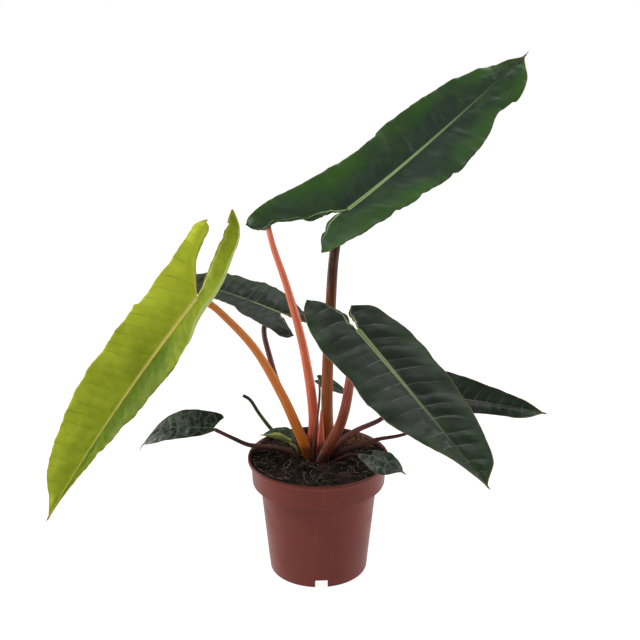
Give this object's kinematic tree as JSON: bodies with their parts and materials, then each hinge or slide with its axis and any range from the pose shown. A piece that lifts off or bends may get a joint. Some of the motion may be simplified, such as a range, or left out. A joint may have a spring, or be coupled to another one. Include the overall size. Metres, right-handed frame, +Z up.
{
  "type": "potted philodendron",
  "caption": "Philodendron with long arrow-shaped leaves on round petioles, rooted in peat in a plain round plastic nursery pot.",
  "frame": {"origin": "centre of the pot's underside, on the flat pad in the middle of the foot", "axes": "+Z up along the pot's axis; -Y towards the usual viewing side, +X to the viewer's right, where the highest leaf points"},
  "size_m": [0.4722, 0.426, 0.491],
  "materials": {
    "pot_plastic": "satin red-brown moulded plastic",
    "peat": "moist dark peat with fine pale roots and fibres",
    "crown_bark": "short ringed stem",
    "sheath": "smooth thin reddish sheath",
    "pink_petiole": "smooth waxy pink-orange, fine short flecks",
    "orange_petiole": "smooth waxy orange-brown, fine short flecks",
    "brown_petiole": "smooth waxy brown, darker towards the top",
    "red_petiole": "smooth waxy brick red",
    "maroon_petiole": "smooth dark maroon",
    "dark_blade": "leathery dark green with a soft sheen, pale midrib, thin reddish margin",
    "fresh_blade": "leathery mid green with a soft sheen",
    "lime_blade": "soft lime green new leaf, tan midrib",
    "young_blade": "small dark green juvenile leaf with a soft sheen"
  },
  "bodies": {
    "root": {"pot": "pot_plastic", "peat": "peat", "crown": "crown_bark", "new_leaf_sheath": "sheath", "cut_petiole": "maroon_petiole", "petiole_top": "brown_petiole", "blade_top": "dark_blade", "petiole_front": "red_petiole", "blade_front": "dark_blade", "petiole_lime": "orange_petiole", "blade_lime": "lime_blade", "petiole_left": "maroon_petiole", "blade_left": "dark_blade", "petiole_right": "maroon_petiole", "blade_right": "dark_blade", "petiole_back": "pink_petiole", "blade_back": "fresh_blade", "petiole_youngLeft": "maroon_petiole", "blade_youngLeft": "young_blade", "petiole_youngCurled": "maroon_petiole", "blade_youngCurled": "young_blade", "petiole_youngRim": "maroon_petiole", "blade_youngRim": "young_blade", "petiole_youngRight": "maroon_petiole", "blade_youngRight": "young_blade", "petiole_youngBack": "maroon_petiole", "blade_youngBack": "young_blade"}
  },
  "joints": []
}
